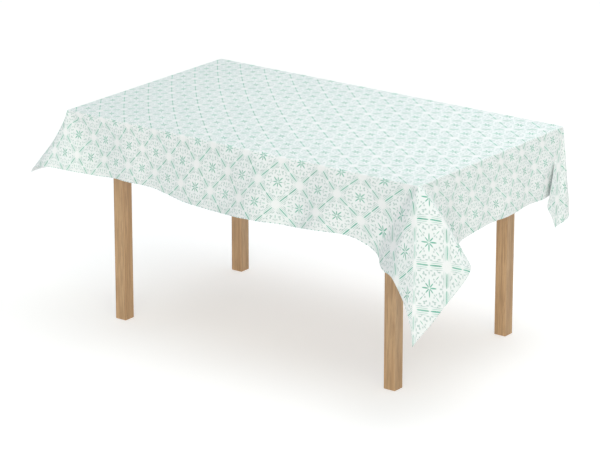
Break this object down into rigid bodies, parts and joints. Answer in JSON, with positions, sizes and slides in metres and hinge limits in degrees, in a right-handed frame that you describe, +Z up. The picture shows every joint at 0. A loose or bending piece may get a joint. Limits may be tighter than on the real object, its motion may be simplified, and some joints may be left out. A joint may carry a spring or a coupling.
{
  "type": "tablecloth on a table",
  "caption": "Rectangular table with four square wooden legs, covered by a printed cotton cloth that hangs in flaps with folded pointed corners.",
  "frame": {"origin": "on the floor, midway between the four feet", "axes": "+X along the table's long side, to the right seen from the front; +Y to the back; +Z up"},
  "size_m": [1.7416, 1.13, 0.75],
  "materials": {
    "printed_cloth": "plain-weave cotton, white with a mint-green printed tile pattern, matte",
    "oak": "light oak with a fine straight grain, satin varnish",
    "board": "light oak-faced board, satin varnish",
    "steel": "zinc-plated steel, dull",
    "glide_plastic": "off-white nylon, matte"
  },
  "bodies": {
    "root": {"tablecloth": "printed_cloth", "table_top": "board", "leg_front_left": "oak", "leg_front_right": "oak", "leg_back_right": "oak", "leg_back_left": "oak", "glide_front_left": "glide_plastic", "glide_front_right": "glide_plastic", "glide_back_right": "glide_plastic", "glide_back_left": "glide_plastic", "apron_front": "oak", "apron_back": "oak", "apron_left": "oak", "apron_right": "oak", "corner_brace_front_left": "steel", "corner_brace_front_right": "steel", "corner_brace_back_right": "steel", "corner_brace_back_left": "steel", "hanger_bolts": "steel", "washers": "steel", "wing_nuts": "steel", "brace_screws": "steel", "top_brackets": "steel", "bracket_screws": "steel"}
  },
  "joints": []
}
